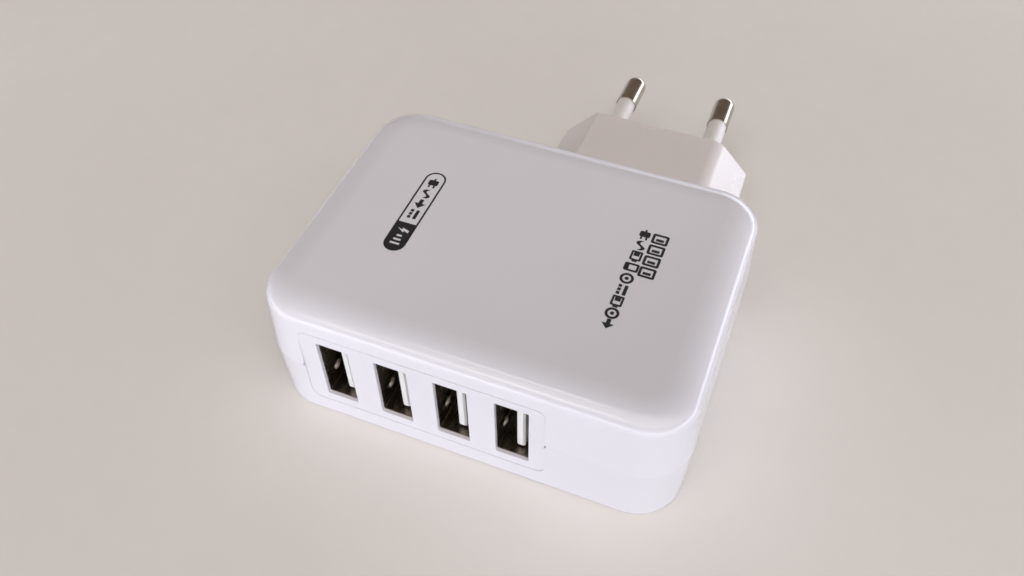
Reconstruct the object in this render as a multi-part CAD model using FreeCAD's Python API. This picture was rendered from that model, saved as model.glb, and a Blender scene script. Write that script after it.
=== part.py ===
import FreeCAD, Part
import math
import os

from FreeCAD import Vector

# Four-port USB wall charger with a fixed Europlug, lying on its lower half.
# Units are millimetres. +Z is up, the ports face -Y and the plug pins point to +Y.
# The origin is under the middle of the overall box, on the surface the charger lies on.
# Distances "behind the front" are measured along +Y from the foremost line of the case.

# ---- Case ----
CASE_WIDTH = 68.5            # along X, at the parting line
CASE_DEPTH = 50.8            # along Y, at the parting line
CASE_HEIGHT = 24.3
PARTING_Z = 12.0             # parting line, also the centre height of ports and plug
CORNER_RADIUS = 8.0
UPPER_DRAFT = 0.052          # wall inset per millimetre above the parting line
LOWER_DRAFT = 0.03           # and below it
TOP_FILLET = 2.5             # rounded top edge, down the wall
TOP_CROWN = 2.65             # and this much further in along the top, so it fades into the flat
BOTTOM_FILLET = 0.5
WALL = 2.0
PARTING_CHAMFER = 0.02       # eased edge of each half at the parting line
LIP_HEIGHT = 1.5             # lip on the lower half, inside the upper half's wall
LIP_THICKNESS = 0.95
LIP_CLEARANCE = 0.05

# ---- Plug (Europlug, EN 50075) ----
PLUG_X = 11.1                # plug centre, towards the right end of the rear face
STEM_LENGTH = 16.6           # from the rear of the case to the pin face
STEM_HALF_WIDTH = 18.1
STEM_HALF_HEIGHT = 6.5
STEM_FLAT_HALF_WIDTH = 11.9  # half the flat top and bottom of the hexagon
STEM_TAPER = 0.4             # inset of every side at the pin face
STEM_CROWN_RADIUS = 3.4      # edges between the flats and the slanted sides, +X side
STEM_INNER_CROWN_RADIUS = 0.9  # the same on the -X side
STEM_SIDE_RADIUS = 0.5       # edges at the plug's two sides
STEM_FACE_RADIUS = 0.45      # edges of the pin face
STEM_WALL = 2.0
STEM_FLANGE_MARGIN = 1.5     # flange behind the rear wall, larger than the stem all round
STEM_FLANGE_THICKNESS = 1.6
PLUG_GAP = 0.1               # play of the plug in the rear wall's opening
PIN_SEAT_DEPTH = 7.0         # solid plastic that holds the pins
PIN_RADIUS = 2.0
PIN_NECK_RADIUS = 1.3
PIN_COLLAR_RADIUS = 2.3      # collar moulded into the seat
PIN_LENGTH = 19.0
PIN_TIP_RADIUS = 1.85        # rounding of the free end
PIN_HALF_SPACING = 9.3       # at the pin face
PIN_TIP_HALF_SPACING = 9.03  # the pins lean a little towards each other
PIN_TAIL = 3.0               # behind the seat, for the lead
SLEEVE_RADIUS = 1.78
SLEEVE_LENGTH = 11.0
SLEEVE_SEAT = 2.0            # sleeve sunk into the pin seat

# ---- USB-A receptacles, standing on their narrow side ----
PORT_COUNT = 4
PORT_PITCH = 9.61
FIRST_PORT_X = -20.07
CUTOUT_WIDTH = 5.3
CUTOUT_HEIGHT = 13.0
OPENING_WIDTH = 5.12         # inside the metal shell
OPENING_HEIGHT = 12.5
SHEET = 0.3
SHELL_LENGTH = 14.0
TONGUE_THICKNESS = 1.35
TONGUE_HEIGHT = 11.3
TONGUE_OFFSET = 0.1          # contact face of the tongue, from the port's centre plane
TONGUE_RECESS = 1.07         # tongue front behind the metal shell's front
INSULATOR_BLOCK = 4.2        # solid rear part of the insulator
FINGER_HALF_WIDTH = 0.8       # spring fingers in the shell's wide walls
FINGER_Z = 2.8               # from the port's centre height
FINGER_TIP = 1.2             # free end behind the shell's front
FINGER_ROOT = 7.5
BUMP_DEPTH = 2.7             # middle of the round bump behind the shell's front
BUMP_RADIUS = 1.05
CONTACT_WIDTH = 1.0
CONTACT_THICKNESS = 0.2
CONTACT_SPOTS = (-3.5, -1.0, 1.0, 3.5)
TAIL_STEP = 1.0              # distance between the rows of contact tails

# ---- Port panel ----
PANEL_X = -5.88
PANEL_RECESS = 0.33          # panel face behind the foremost line of the case
PANEL_WIDTH = 39.65
PANEL_HEIGHT = 16.4
PANEL_RADIUS = 1.6
PANEL_GAP = 0.02
PANEL_CORNER_RELIEF = 0.34   # radius of the corners of the case halves beside the panel
PANEL_LIP = 0.65             # plastic in front of the metal shells
CUTOUT_EDGE_RADIUS = 0.12    # rounded front edge of each cut-out
PANEL_FLANGE_MARGIN = 1.0
PANEL_FLANGE_THICKNESS = 1.0
SHELL_POCKET_GAP = 0.12      # play of each metal shell in the panel's pocket

# ---- Circuit board ----
BOARD_THICKNESS = 1.6
BOARD_WIDTH = 61.0
BOARD_FRONT = 5.0            # behind the front
BOARD_BACK = 45.0
BOARD_RADIUS = 5.0
HOLE_GAP = 0.15              # radial play of a lead in its hole
LEAD_REACH = 1.0             # leads below the board
LEAD_RADIUS = 0.8            # insulated mains leads
LEAD_BEND = 2.6
POST_RADIUS = 1.6            # posts of the case halves that hold the board
POST_SPOTS = ((-28.0, 9.0), (28.0, 9.0), (-28.0, 42.0), (28.0, 42.0))

# ---- Transformer, its axis along Y ----
TRANSFORMER_X = -7.5
TRANSFORMER_BEHIND = 30.5    # behind the front
TRANSFORMER_HEIGHT = 8.2     # axis above the board
CORE_WIDTH = 16.0
CORE_HALF_DEPTH = 7.2
CORE_HEIGHT = 5.0
CORE_LEG = 4.0
CORE_OUTER_LEG = 2.1
CORE_BACK = 2.2
BOBBIN_WALL = 0.7
BOBBIN_HEIGHT = 12.6

# ---- Worked out from the above ----
TOTAL_DEPTH = CASE_DEPTH + STEM_LENGTH + PIN_LENGTH
FRONT_Y = -TOTAL_DEPTH / 2
REAR_Y = FRONT_Y + CASE_DEPTH
CASE_Y = (FRONT_Y + REAR_Y) / 2
PIN_FACE_Y = REAR_Y + STEM_LENGTH
PANEL_Y = FRONT_Y + PANEL_RECESS
SHELL_FRONT_Y = PANEL_Y + PANEL_LIP
PORT_X = [FIRST_PORT_X + PORT_PITCH * n for n in range(PORT_COUNT)]
BOARD_TOP = PARTING_Z - OPENING_HEIGHT / 2 - SHEET
BOARD_UNDER = BOARD_TOP - BOARD_THICKNESS
TRANSFORMER_Y = FRONT_Y + TRANSFORMER_BEHIND
TRANSFORMER_Z = BOARD_TOP + TRANSFORMER_HEIGHT

X_AXIS = Vector(1, 0, 0)
Y_AXIS = Vector(0, 1, 0)
Z_AXIS = Vector(0, 0, 1)

board_holes = []             # cutters for the board, collected from every part that stands on it


# ---- Small geometry helpers ----

def block(x0, x1, y0, y1, z0, z1):
    return Part.makeBox(x1 - x0, y1 - y0, z1 - z0, Vector(x0, y0, z0))


def centred_block(x, y, width, depth, z0, z1):
    return block(x - width / 2, x + width / 2, y - depth / 2, y + depth / 2, z0, z1)


def rod(start, end, radius):
    axis = end - start
    return Part.makeCylinder(radius, axis.Length, start, axis)


def rounded_wire(centre, u_dir, v_dir, half_u, half_v, radius):
    """Rounded rectangle in the plane of u_dir and v_dir."""
    def at(u, v):
        return centre + u_dir * u + v_dir * v

    mid = radius * (1 - math.sqrt(0.5))
    arcs = []
    for n, (su, sv) in enumerate(((1, 1), (-1, 1), (-1, -1), (1, -1))):
        ends = [at(su * half_u, sv * (half_v - radius)), at(su * (half_u - radius), sv * half_v)]
        if n % 2:
            ends.reverse()
        arcs.append((ends[0], at(su * (half_u - mid), sv * (half_v - mid)), ends[1]))
    edges = []
    for n, (start, middle, end) in enumerate(arcs):
        edges.append(Part.Arc(start, middle, end).toShape())
        edges.append(Part.makeLine(end, arcs[(n + 1) % 4][0]))
    return Part.Wire(edges)


def polygon_prism(points, direction):
    """Prism from a closed outline of points, extruded along direction."""
    return Part.Face(Part.makePolygon(points + [points[0]])).extrude(direction)


def fillet_where(shape, radius, test):
    """Rounds every edge whose middle point and direction pass the test."""
    chosen = []
    for edge in shape.Edges:
        middle = edge.valueAt((edge.FirstParameter + edge.LastParameter) / 2)
        tangent = edge.tangentAt((edge.FirstParameter + edge.LastParameter) / 2)
        if test(middle, tangent):
            chosen.append(edge)
    return shape.makeFillet(radius, chosen)


def join(shapes):
    first, rest = shapes[0], shapes[1:]
    return first.fuse(rest).removeSplitter() if rest else first


def bent_rod(points, radius, bend):
    """Round wire along straight runs joined by tangent arcs of one radius."""
    edges = []
    start = points[0]
    for before, corner, after in zip(points, points[1:], points[2:]):
        arrive = (corner - before).normalize()
        leave = (after - corner).normalize()
        half_turn = arrive.getAngle(leave) / 2
        setback = bend * math.tan(half_turn)
        arc_start = corner - arrive * setback
        arc_end = corner + leave * setback
        inward = (leave - arrive).normalize()
        middle = corner + inward * (bend / math.cos(half_turn) - bend)
        edges.append(Part.makeLine(start, arc_start))
        edges.append(Part.Arc(arc_start, middle, arc_end).toShape())
        start = arc_end
    edges.append(Part.makeLine(start, points[-1]))
    path = Part.Wire(edges)
    profile = Part.Wire(Part.makeCircle(radius, points[0], points[1] - points[0]))
    return path.makePipeShell([profile], True, False)


# ---- Case ----

def case_outline(z, inset):
    return rounded_wire(Vector(0, CASE_Y, z), X_AXIS, Y_AXIS,
                        CASE_WIDTH / 2 - inset, CASE_DEPTH / 2 - inset, CORNER_RADIUS - inset)


def case_half(z_end, inset, fillet, crown=0):
    """Drafted block from the parting line to z_end.

    One wall profile is turned round each corner and run along each side, so that its rounded
    end edge is true everywhere. The edge reaches crown further along the end face than down the wall.
    """
    direction = 1 if z_end > PARTING_Z else -1
    height = abs(z_end - PARTING_Z)
    slope = math.atan(UPPER_DRAFT if z_end > PARTING_Z else LOWER_DRAFT)
    reach = CORNER_RADIUS - inset
    arc_height = height - fillet
    arc_reach = reach - (fillet + arc_height * math.sin(slope)) / math.cos(slope)

    def on_profile(out, up):
        return Vector(out, 0, PARTING_Z + direction * up)

    foot, edge = on_profile(0, 0), on_profile(reach, 0)
    wall_end = on_profile(arc_reach + fillet * math.cos(slope), arc_height + fillet * math.sin(slope))
    flat_end = on_profile(arc_reach - crown, height)
    top = on_profile(0, height)
    pull = 4 / 3 * math.tan((math.pi / 2 - slope) / 4)
    rounding = Part.BezierCurve()
    rounding.setPoles([
        wall_end,
        wall_end + (wall_end - edge).normalize() * fillet * pull,
        flat_end + X_AXIS * (fillet + crown) * pull,
        flat_end,
    ])
    profile = Part.Face(Part.Wire([
        Part.makeLine(foot, edge),
        Part.makeLine(edge, wall_end),
        rounding.toShape(),
        Part.makeLine(flat_end, top),
        Part.makeLine(top, foot),
    ]))
    half_x = CASE_WIDTH / 2 - CORNER_RADIUS
    half_y = CASE_DEPTH / 2 - CORNER_RADIUS
    corners = ((half_x, half_y), (-half_x, half_y), (-half_x, -half_y), (half_x, -half_y))
    z0, z1 = min(z_end, PARTING_Z), max(z_end, PARTING_Z)
    solids = [block(-half_x, half_x, CASE_Y - half_y, CASE_Y + half_y, z0, z1)]
    for n, (x, y) in enumerate(corners):
        corner = Vector(x, CASE_Y + y, 0)
        placed = profile.copy()
        placed.rotate(Vector(0, 0, 0), Z_AXIS, 90 * n)
        placed.translate(corner)
        solids.append(placed.revolve(corner, Z_AXIS, 90))
        next_x, next_y = corners[(n - 1) % 4]
        solids.append(placed.extrude(Vector(next_x - x, next_y - y, 0)))
    return join(solids)


def case_ring(z0, z1, outer_inset, inner_inset):
    """Upright ring that follows the case outline between two insets."""
    height = Vector(0, 0, z1 - z0)
    outer = Part.Face(case_outline(z0, outer_inset)).extrude(height)
    return outer.cut(Part.Face(case_outline(z0, inner_inset)).extrude(height))


def parting_bevel(direction):
    """Cutter that eases the outer edge of one half at the parting line."""
    z_edge = PARTING_Z + direction * PARTING_CHAMFER
    over = 1.0
    outer = Part.Face(case_outline(PARTING_Z, -over)).extrude(Vector(0, 0, z_edge - PARTING_Z))
    inner_line, outer_line = case_outline(PARTING_Z, PARTING_CHAMFER), case_outline(z_edge, 0)
    core = Part.makeLoft([inner_line, outer_line], True, True)
    return outer.cut(core)


def panel_prism(margin, y0, y1):
    wire = rounded_wire(Vector(PANEL_X, y0, PARTING_Z), X_AXIS, Z_AXIS,
                        PANEL_WIDTH / 2 + margin, PANEL_HEIGHT / 2 + margin, PANEL_RADIUS + margin)
    return Part.Face(wire).extrude(Vector(0, y1 - y0, 0))


def hexagon(y, margin):
    """Plug outline at y, every side moved out by margin."""
    slope = math.atan2(STEM_HALF_HEIGHT, STEM_HALF_WIDTH - STEM_FLAT_HALF_WIDTH)
    half_width = STEM_HALF_WIDTH + margin / math.sin(slope)
    half_height = STEM_HALF_HEIGHT + margin
    flat = half_width - half_height / math.tan(slope)
    corners = ((flat, 1), (half_width, 0), (flat, -1), (-flat, -1), (-half_width, 0), (-flat, 1))
    points = [Vector(PLUG_X + x, y, PARTING_Z + side * half_height) for x, side in corners]
    return Part.makePolygon(points + [points[0]])


def hexagon_prism(y0, y1, margin):
    return Part.Face(hexagon(y0, margin)).extrude(Vector(0, y1 - y0, 0))


def case_windows():
    """Openings through the walls for the port panel and the plug stem, halves of both shells."""
    through = WALL + 1.5
    front = panel_prism(PANEL_GAP, FRONT_Y - 1, FRONT_Y + through)
    corners = []
    for side in (-1, 1):
        corner = Vector(PANEL_X + side * (PANEL_WIDTH / 2 + PANEL_GAP), FRONT_Y - 1, PARTING_Z)
        corners.append(rod(corner, corner + Y_AXIS * (through + 1), PANEL_CORNER_RELIEF))
    rear = hexagon_prism(REAR_Y - through, REAR_Y + 1, PLUG_GAP)
    return front.fuse(corners + [rear])


def board_posts(z0, z1):
    posts = []
    for x, behind in POST_SPOTS:
        posts.append(rod(Vector(x, FRONT_Y + behind, z0), Vector(x, FRONT_Y + behind, z1), POST_RADIUS))
    return posts


def stem_saddle(z0, z1):
    """Ribs that stand behind the stem flange and keep it against the rear wall."""
    y1 = REAR_Y - WALL - 0.6 - STEM_FLANGE_THICKNESS - 0.1
    return [block(PLUG_X + x - 0.6, PLUG_X + x + 0.6, y1 - 1.2, y1, z0, z1) for x in (-7.0, 7.0)]


def upper_shell():
    outer = case_half(CASE_HEIGHT, 0, TOP_FILLET, TOP_CROWN)
    cavity = case_half(CASE_HEIGHT - WALL, WALL, TOP_FILLET - WALL)
    shell = outer.cut(cavity)
    rebate_inset = WALL - LIP_THICKNESS - LIP_CLEARANCE
    rebate_top = PARTING_Z + LIP_HEIGHT + 2 * LIP_CLEARANCE
    shell = shell.cut(case_ring(PARTING_Z, rebate_top, rebate_inset, WALL + 0.5))
    ceiling = CASE_HEIGHT - WALL
    ribs = board_posts(BOARD_TOP, ceiling + 0.5)
    ribs += stem_saddle(PARTING_Z + STEM_HALF_HEIGHT - 1.5, ceiling + 0.5)
    shell = join([shell] + ribs)
    return shell.cut(case_windows()).cut(parting_bevel(1))


def lower_shell():
    outer = case_half(0, 0, BOTTOM_FILLET)
    cavity = case_half(WALL, WALL, 1.0)
    shell = outer.cut(cavity)
    lip = case_ring(PARTING_Z, PARTING_Z + LIP_HEIGHT, WALL - LIP_THICKNESS, WALL)
    lip_root = case_ring(PARTING_Z - 1.0, PARTING_Z, WALL - LIP_THICKNESS, WALL)
    ribs = board_posts(WALL - 0.5, BOARD_UNDER)
    shell = join([shell, lip_root.fuse(lip)] + ribs)
    return shell.cut(case_windows()).cut(parting_bevel(-1))


def port_panel():
    flange_front = FRONT_Y + WALL + 0.6
    flange_back = flange_front + PANEL_FLANGE_THICKNESS
    plate = panel_prism(0, PANEL_Y, flange_back)
    flange = panel_prism(PANEL_FLANGE_MARGIN, flange_front, flange_back)
    panel = join([plate, flange])
    for x in PORT_X:
        centre = Vector(x, PANEL_Y - 1, PARTING_Z)
        window = rounded_wire(centre, X_AXIS, Z_AXIS, CUTOUT_WIDTH / 2, CUTOUT_HEIGHT / 2, 0.2)
        panel = panel.cut(Part.Face(window).extrude(Vector(0, 4, 0)))
        pocket = receptacle_prism(x, SHELL_FRONT_Y, flange_back + 1, SHEET + SHELL_POCKET_GAP)
        panel = panel.cut(pocket)

    def on_cutout(middle, tangent):
        beside = any(abs(middle.x - x) < CUTOUT_WIDTH / 2 + 0.1 for x in PORT_X)
        level = abs(middle.z - PARTING_Z) < CUTOUT_HEIGHT / 2 + 0.1
        return beside and level and abs(middle.y - PANEL_Y) < 0.01

    return fillet_where(panel, CUTOUT_EDGE_RADIUS, on_cutout)


# ---- Plug ----

def plug_stem():
    flange_back = REAR_Y - WALL - 0.6 - STEM_FLANGE_THICKNESS
    flange_front = REAR_Y - WALL - 0.6
    stem = Part.makeLoft([hexagon(flange_back, 0), hexagon(PIN_FACE_Y, -STEM_TAPER)], True, True)
    for radius, side in ((STEM_CROWN_RADIUS, 1), (STEM_INNER_CROWN_RADIUS, -1)):
        def on_crown(middle, tangent):
            off_middle = side * (middle.x - PLUG_X) > 1 and abs(middle.z - PARTING_Z) > 6
            return abs(tangent.y) > 0.9 and off_middle

        stem = fillet_where(stem, radius, on_crown)
    stem = fillet_where(stem, STEM_SIDE_RADIUS,
                        lambda middle, tangent: abs(tangent.y) > 0.9 and abs(middle.z - PARTING_Z) < 0.1)
    stem = fillet_where(stem, STEM_FACE_RADIUS,
                        lambda middle, tangent: abs(middle.y - PIN_FACE_Y) < 0.01)
    flange = hexagon_prism(flange_back, flange_front, STEM_FLANGE_MARGIN)
    flange = flange.common(Part.Face(case_outline(0, WALL + 0.7)).extrude(Vector(0, 0, CASE_HEIGHT)))
    stem = join([stem, flange])
    hollow_end = PIN_FACE_Y - PIN_SEAT_DEPTH
    hollow = hexagon_prism(flange_back - 1, hollow_end, -STEM_WALL - STEM_TAPER)
    stem = stem.cut(hollow)
    for side in (-1, 1):
        stem = stem.cut(pin_axis_rod(side, -PIN_SEAT_DEPTH - 1, 1, PIN_NECK_RADIUS))
        stem = stem.cut(pin_axis_rod(side, -SLEEVE_SEAT, 1, SLEEVE_RADIUS))
        stem = stem.cut(pin_collar(side))
    return stem


def pin_point(side, out):
    """Point on a pin's axis, out from the pin face."""
    lean = (PIN_HALF_SPACING - PIN_TIP_HALF_SPACING) / PIN_LENGTH
    return Vector(PLUG_X + side * (PIN_HALF_SPACING - lean * out), PIN_FACE_Y + out, PARTING_Z)


def pin_axis_rod(side, out0, out1, radius):
    return rod(pin_point(side, out0), pin_point(side, out1), radius)


def pin_collar(side):
    return pin_axis_rod(side, -PIN_SEAT_DEPTH + 1.5, -SLEEVE_SEAT - 1.5, PIN_COLLAR_RADIUS)


def plug_pin(side):
    """Round pin: full diameter at the free end, a thinner neck in the sleeve, a collar in the seat."""
    tip = pin_axis_rod(side, SLEEVE_LENGTH, PIN_LENGTH, PIN_RADIUS)
    near_end = PIN_FACE_Y + PIN_LENGTH - 0.3
    tip = fillet_where(tip, PIN_TIP_RADIUS,
                       lambda middle, tangent: middle.y > near_end and abs(tangent.y) < 0.1)
    neck = pin_axis_rod(side, -PIN_SEAT_DEPTH - PIN_TAIL, SLEEVE_LENGTH, PIN_NECK_RADIUS)
    return join([tip, neck, pin_collar(side)])


def pin_sleeve(side):
    tube = pin_axis_rod(side, -SLEEVE_SEAT, SLEEVE_LENGTH, SLEEVE_RADIUS)
    return tube.cut(pin_axis_rod(side, -SLEEVE_SEAT - 1, SLEEVE_LENGTH + 1, PIN_NECK_RADIUS))


def mains_lead(side):
    """Insulated lead from a pin's tail down to the board, in two gentle bends."""
    tail = pin_point(side, -PIN_SEAT_DEPTH - PIN_TAIL - 0.02)
    foot_y = FRONT_Y + BOARD_BACK - 2.2
    drop = Vector(tail.x, foot_y, BOARD_UNDER - 0.5)
    knee = Vector(tail.x, foot_y, BOARD_TOP + LEAD_BEND)
    shoulder = Vector(tail.x, foot_y + 3.6, PARTING_Z)
    board_holes.append(rod(drop, Vector(drop.x, drop.y, BOARD_TOP + 1), LEAD_RADIUS + HOLE_GAP))
    return bent_rod([tail, shoulder, knee, drop], LEAD_RADIUS, LEAD_BEND)


# ---- USB receptacles ----

def receptacle_prism(x, y0, y1, margin):
    """Box of the receptacle's opening, made larger by margin, with slightly rounded corners."""
    wire = rounded_wire(Vector(x, y0, PARTING_Z), X_AXIS, Z_AXIS,
                        OPENING_WIDTH / 2 + margin, OPENING_HEIGHT / 2 + margin, 0.25 + margin)
    return Part.Face(wire).extrude(Vector(0, y1 - y0, 0))


def spring_finger(x, side, z):
    """Retention finger in a wide wall: it leans into the opening and ends in a round bump."""
    wall_in = x + side * OPENING_WIDTH / 2
    profile = ((FINGER_ROOT, 0.0), (BUMP_DEPTH + 0.4, 0.34), (BUMP_DEPTH - 0.4, 0.34), (FINGER_TIP, 0.05))
    foot = z - FINGER_HALF_WIDTH
    inner = [Vector(wall_in - side * reach, SHELL_FRONT_Y + depth, foot) for depth, reach in profile]
    outer = [point + Vector(side * SHEET * 0.8, 0, 0) for point in reversed(inner)]
    finger = polygon_prism(inner + outer, Vector(0, 0, 2 * FINGER_HALF_WIDTH))
    bump_centre = Vector(wall_in + side * 0.45, SHELL_FRONT_Y + BUMP_DEPTH, z)
    bump = Part.makeSphere(BUMP_RADIUS, bump_centre)
    keep_ends = sorted((wall_in - side * 1.0, wall_in - side * 0.2))
    keep = block(*keep_ends, bump_centre.y - BUMP_RADIUS, bump_centre.y + BUMP_RADIUS,
                 z - BUMP_RADIUS, z + BUMP_RADIUS)
    return join([finger, bump.common(keep)])


def usb_shell(x):
    """Folded sheet-metal shell: open front, closed back, two spring fingers in each wide wall."""
    back_y = SHELL_FRONT_Y + SHELL_LENGTH
    shell = receptacle_prism(x, SHELL_FRONT_Y, back_y, SHEET)
    shell = shell.cut(receptacle_prism(x, SHELL_FRONT_Y - 1, back_y + 1, 0))
    legs = []
    for side in (-1, 1):
        wall = x + side * (OPENING_WIDTH + SHEET) / 2
        for z in (PARTING_Z - FINGER_Z, PARTING_Z + FINGER_Z):
            half_slot = FINGER_HALF_WIDTH + 0.15
            slot = block(wall - SHEET, wall + SHEET, SHELL_FRONT_Y + FINGER_TIP - 0.15,
                         SHELL_FRONT_Y + FINGER_ROOT, z - half_slot, z + half_slot)
            shell = shell.cut(slot)
            legs.append(spring_finger(x, side, z))
        for y in (SHELL_FRONT_Y + 6.4, SHELL_FRONT_Y + 12.4):
            leg = block(wall - SHEET / 2, wall + SHEET / 2, y - 1.0, y + 1.0,
                        BOARD_UNDER - LEAD_REACH, PARTING_Z - OPENING_HEIGHT / 2 + 0.4)
            legs.append(leg)
            board_holes.append(centred_block(wall, y, SHEET + 2 * HOLE_GAP, 2.0 + 2 * HOLE_GAP,
                                             BOARD_UNDER - 1, BOARD_TOP + 1))
    return join([shell] + legs)


def usb_tongue(x, contacts):
    """Insulator: solid rear block and the tongue, grooved for its contacts."""
    front_y = SHELL_FRONT_Y + TONGUE_RECESS
    back_y = SHELL_FRONT_Y + SHELL_LENGTH
    block_y = back_y - INSULATOR_BLOCK
    rear = receptacle_prism(x, block_y, back_y, -0.02)
    x0 = x + TONGUE_OFFSET
    tongue = block(x0, x0 + TONGUE_THICKNESS, front_y, block_y + 1,
                   PARTING_Z - TONGUE_HEIGHT / 2, PARTING_Z + TONGUE_HEIGHT / 2)
    tongue = tongue.makeChamfer(0.3, [edge for edge in tongue.Edges if is_front_edge(edge, front_y)])
    return join([rear, tongue]).cut(contacts)


def is_front_edge(edge, front_y):
    ends = [vertex.Y for vertex in edge.Vertexes]
    return max(ends) < front_y + 0.01


def usb_contact(x, order):
    """One spring contact: bowed out of the tongue, back through the block, then down to the board."""
    z = PARTING_Z + CONTACT_SPOTS[order]
    face = x + TONGUE_OFFSET
    front_y = SHELL_FRONT_Y + TONGUE_RECESS + 0.7
    tail_y = SHELL_FRONT_Y + SHELL_LENGTH + 0.6 + TAIL_STEP * order
    bow = ((0.0, 0.3), (1.9, -0.35), (2.7, -0.35), (5.2, 0.25))
    line = [(front_y + along, face + inward) for along, inward in bow]
    line.append((tail_y, face + bow[-1][1]))
    left = [Vector(at_x, y, z - CONTACT_WIDTH / 2) for y, at_x in line]
    right = [point + Vector(CONTACT_THICKNESS, 0, 0) for point in reversed(left)]
    strip = polygon_prism(left + right, Vector(0, 0, CONTACT_WIDTH))
    tail_x = face + bow[-1][1]
    tail = block(tail_x, tail_x + CONTACT_THICKNESS, tail_y - 0.3, tail_y + 0.3,
                 BOARD_UNDER - LEAD_REACH, z + CONTACT_WIDTH / 2)
    hole = centred_block(tail_x + CONTACT_THICKNESS / 2, tail_y, CONTACT_THICKNESS + 2 * HOLE_GAP,
                         0.6 + 2 * HOLE_GAP, BOARD_UNDER - 1, BOARD_TOP + 1)
    board_holes.append(hole)
    return join([strip, tail])


# ---- Board and what stands on it ----

def wire_leads(spots, radius, top):
    """Straight leads through the board; their holes are noted for the board."""
    leads = []
    for x, y in spots:
        foot = Vector(x, y, BOARD_UNDER - LEAD_REACH)
        leads.append(rod(foot, Vector(x, y, top), radius))
        board_holes.append(rod(foot, Vector(x, y, BOARD_TOP + 0.5), radius + HOLE_GAP))
    return leads


def can_capacitor(x, behind, radius, height, lead_half_gap):
    """Electrolytic capacitor: rolled can with a crimp near its foot."""
    y = FRONT_Y + behind
    can = Part.makeCylinder(radius, height, Vector(x, y, BOARD_TOP))
    can = fillet_where(can, 0.7, lambda middle, tangent: abs(middle.z - BOARD_TOP - height) < 0.01)
    crimp = Part.makeTorus(radius + 0.4, 0.8, Vector(x, y, BOARD_TOP + 2.0))
    vent = block(x - radius * 0.6, x + radius * 0.6, y - 0.15, y + 0.15,
                 BOARD_TOP + height - 0.15, BOARD_TOP + height + 1)
    spots = [(x - lead_half_gap, y), (x + lead_half_gap, y)]
    return join([can.cut(crimp).cut(vent)] + wire_leads(spots, 0.3, BOARD_TOP + 1))


def fuse_resistor():
    """Axial fusible resistor lying over the board, its leads bent down at both ends."""
    x, y, z = 21.0, FRONT_Y + 37.5, BOARD_TOP + 2.3
    body = rod(Vector(x - 4.5, y, z), Vector(x + 4.5, y, z), 1.5)
    caps = [rod(Vector(x + s * 4.6, y, z), Vector(x + s * 2.9, y, z), 1.8) for s in (-1, 1)]
    body = join([body] + caps)
    reach = 7.0
    foot = BOARD_UNDER - LEAD_REACH
    lead = bent_rod([Vector(x - reach, y, foot), Vector(x - reach, y, z),
                     Vector(x + reach, y, z), Vector(x + reach, y, foot)], 0.35, 1.2)
    for side in (-1, 1):
        lead_x = x + side * reach
        top = Vector(lead_x, y, BOARD_TOP + 0.5)
        board_holes.append(rod(Vector(lead_x, y, foot), top, 0.35 + HOLE_GAP))
    return join([body, lead])


def bridge_rectifier():
    x, y = 8.0, FRONT_Y + 34.5
    body = centred_block(x, y, 8.4, 6.4, BOARD_TOP + 0.8, BOARD_TOP + 3.9)
    body = fillet_where(body, 0.4, lambda middle, tangent: abs(middle.z - BOARD_TOP - 3.9) < 0.01)
    spots = [(x + sx * 2.5, y + sy * 2.4) for sx in (-1, 1) for sy in (-1, 1)]
    return join([body] + wire_leads(spots, 0.3, BOARD_TOP + 1.5))


def choke_core():
    """Drum core: two flanges on a waist."""
    x, y = 22.0, FRONT_Y + 30.0
    z = BOARD_TOP
    return join([
        rod(Vector(x, y, z), Vector(x, y, z + 1.2), 4.0),
        rod(Vector(x, y, z), Vector(x, y, z + 9.0), 1.8),
        rod(Vector(x, y, z + 7.8), Vector(x, y, z + 9.0), 4.0),
    ])


def choke_coil():
    x, y = 22.0, FRONT_Y + 30.0
    coil = rod(Vector(x, y, BOARD_TOP + 1.25), Vector(x, y, BOARD_TOP + 7.75), 3.4)
    return coil.cut(rod(Vector(x, y, BOARD_TOP), Vector(x, y, BOARD_TOP + 9), 1.85))


def chip_with_legs(x, y, width, depth, height, rows, pitch):
    """Flat moulded chip with bent legs along both long sides, standing on the board."""
    z = BOARD_TOP + 0.1
    body = centred_block(x, y, width, depth, z, z + height)
    body = fillet_where(body, 0.2, lambda middle, tangent: abs(middle.z - z - height) < 0.01)
    legs = []
    for n in range(rows):
        at = x + (n - (rows - 1) / 2) * pitch
        for side in (-1, 1):
            edge = y + side * depth / 2
            out = edge + side * 1.0
            profile = [Vector(at - 0.2, edge - side * 0.2, z + height * 0.55),
                       Vector(at - 0.2, edge + side * 0.5, z + height * 0.55),
                       Vector(at - 0.2, edge + side * 0.5, BOARD_TOP + 0.2),
                       Vector(at - 0.2, out, BOARD_TOP + 0.2),
                       Vector(at - 0.2, out, BOARD_TOP),
                       Vector(at - 0.2, edge + side * 0.3, BOARD_TOP),
                       Vector(at - 0.2, edge + side * 0.3, z + height * 0.4),
                       Vector(at - 0.2, edge - side * 0.2, z + height * 0.4)]
            legs.append(polygon_prism(profile, Vector(0.4, 0, 0)))
    return join([body] + legs)


def y_capacitor():
    """Disc capacitor standing on edge, across the isolation gap."""
    x, y, z = 8.0, FRONT_Y + 24.0, BOARD_TOP + 5.0
    disc = rod(Vector(x, y - 1.6, z), Vector(x, y + 1.6, z), 4.2)
    disc = fillet_where(disc, 1.2, lambda middle, tangent: abs(tangent.y) < 0.1)
    spots = [(x - 2.5, y), (x + 2.5, y)]
    return join([disc] + wire_leads(spots, 0.3, z - 1))


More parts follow.
